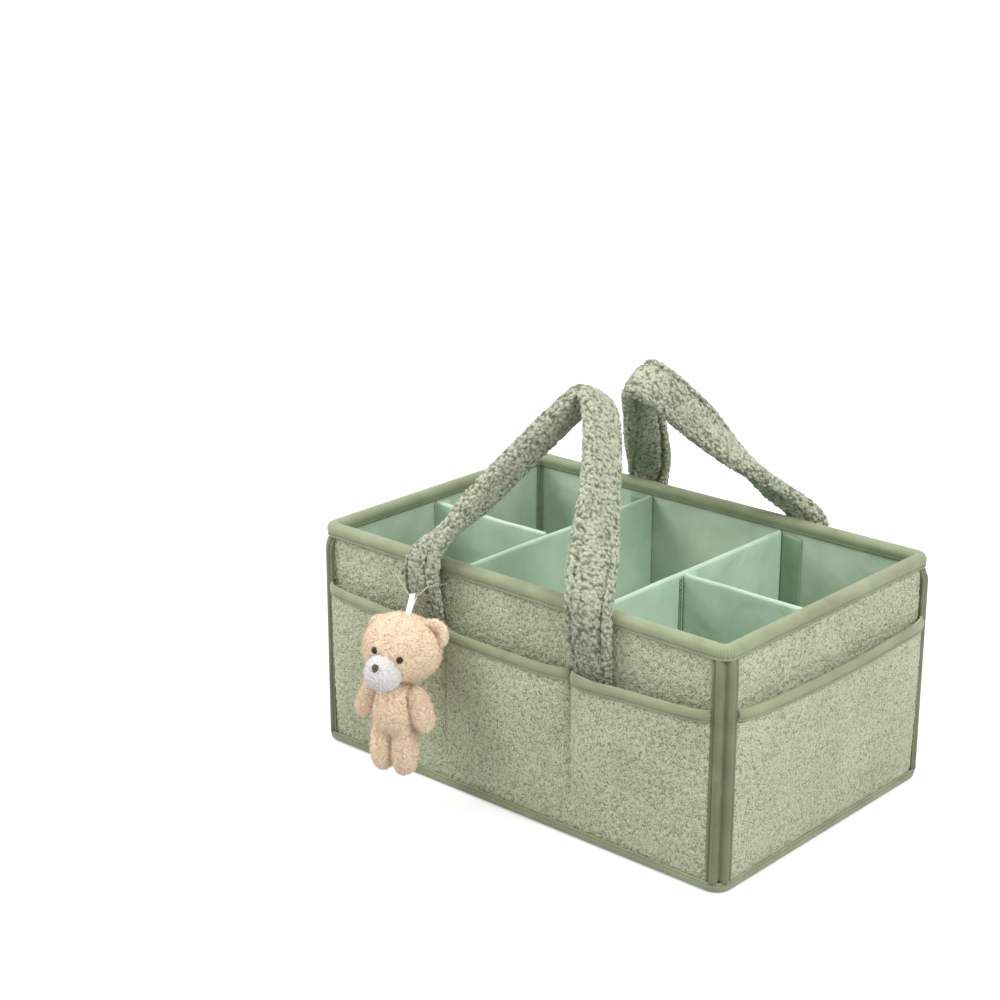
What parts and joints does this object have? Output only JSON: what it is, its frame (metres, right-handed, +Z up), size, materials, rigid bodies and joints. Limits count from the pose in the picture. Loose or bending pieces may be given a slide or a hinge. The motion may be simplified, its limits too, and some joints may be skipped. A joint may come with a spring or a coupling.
{
  "type": "diaper caddy",
  "caption": "Stiffened fabric box with outside pockets, two padded handles, T-shaped divider inserts and a hanging plush bear charm.",
  "frame": {"origin": "centre of the underside, on the surface that the caddy stands on", "axes": "+X along the length to the right seen from the front, -Y out of the front (the bear's side), +Z up"},
  "size_m": [0.404, 0.3414, 0.3081],
  "materials": {
    "boucle": "curled sage bouclé pile",
    "binding_tape": "plain woven olive binding tape",
    "lining": "smooth mint polyester lining",
    "board": "pale stiffening board",
    "foam": "soft wadding",
    "plush": "short cream plush pile",
    "felt": "white brushed felt",
    "satin": "white satin ribbon",
    "eye_bead": "black polished bead",
    "nose_thread": "brown embroidery thread",
    "steel": "nickel-plated beads"
  },
  "bodies": {
    "caddy_box": {"base_cover": "boucle", "front_wall_cloth": "boucle", "back_wall_cloth": "boucle", "left_wall_cloth": "boucle", "right_wall_cloth": "boucle", "front_pocket": "boucle", "back_pocket": "boucle", "left_pocket": "boucle", "right_pocket": "boucle", "front_left_strap_end": "boucle", "front_right_strap_end": "boucle", "back_left_strap_end": "boucle", "back_right_strap_end": "boucle", "base_binding": "binding_tape", "top_rim_binding": "binding_tape", "front_left_corner_binding": "binding_tape", "front_right_corner_binding": "binding_tape", "back_left_corner_binding": "binding_tape", "back_right_corner_binding": "binding_tape", "front_pocket_binding": "binding_tape", "back_pocket_binding": "binding_tape", "left_pocket_binding": "binding_tape", "right_pocket_binding": "binding_tape", "base_lining": "lining", "front_lining": "lining", "back_lining": "lining", "left_lining": "lining", "right_lining": "lining", "base_board": "board", "front_wall_board": "board", "back_wall_board": "board", "left_wall_board": "board", "right_wall_board": "board", "ball_chain": "steel", "chain_clasp": "steel"},
    "front_handle": {"front_handle_cover": "boucle", "front_handle_foam_core": "foam"},
    "back_handle": {"back_handle_cover": "boucle", "back_handle_foam_core": "foam"},
    "left_insert": {"left_long_divider_cover": "lining", "left_long_divider_board": "board"},
    "left_fold": {"left_short_divider_cover": "lining", "left_short_divider_board": "board"},
    "right_insert": {"right_long_divider_cover": "lining", "right_long_divider_board": "board"},
    "right_fold": {"right_short_divider_cover": "lining", "right_short_divider_board": "board"},
    "ribbon": {"ribbon_loop": "satin"},
    "bear": {"bear_head": "plush", "bear_body": "plush", "bear_left_leg": "plush", "bear_left_arm": "plush", "bear_left_ear": "plush", "bear_right_leg": "plush", "bear_right_arm": "plush", "bear_right_ear": "plush", "bear_muzzle": "felt", "bear_nose": "nose_thread", "bear_left_eye": "eye_bead", "bear_right_eye": "eye_bead"}
  },
  "joints": [
    {"name": "front_handle_swing", "type": "hinge", "parent": "caddy_box", "child": "front_handle", "pos_m": [0, -0.1337, 0.1835], "axis": [-1, 0, 0], "range_deg": [-125, 10]},
    {"name": "back_handle_swing", "type": "hinge", "parent": "caddy_box", "child": "back_handle", "pos_m": [0, 0.1337, 0.1835], "axis": [1, 0, 0], "range_deg": [-131, 9]},
    {"name": "left_insert_slide", "type": "slide", "parent": "caddy_box", "child": "left_insert", "axis": [1, 0, 0], "range_m": [0, 0.045]},
    {"name": "right_insert_slide", "type": "slide", "parent": "caddy_box", "child": "right_insert", "axis": [-1, 0, 0], "range_m": [0, 0.045]},
    {"name": "left_divider_fold", "type": "hinge", "parent": "left_insert", "child": "left_fold", "pos_m": [-0.0666, -0.0057, 0.088], "axis": [0, 0, -1], "range_deg": [0, 75]},
    {"name": "right_divider_fold", "type": "hinge", "parent": "right_insert", "child": "right_fold", "pos_m": [0.0666, -0.0057, 0.088], "axis": [0, 0, 1], "range_deg": [0, 75]},
    {"name": "charm_swing", "type": "hinge", "parent": "caddy_box", "child": "ribbon", "pos_m": [-0.0744, -0.1469, 0.1545], "axis": [-1, 0, 0], "range_deg": [0, 45]},
    {"name": "bear_sway", "type": "hinge", "parent": "ribbon", "child": "bear", "pos_m": [-0.0686, -0.158, 0.145], "axis": [0, 1, 0], "range_deg": [-12, 12]}
  ]
}
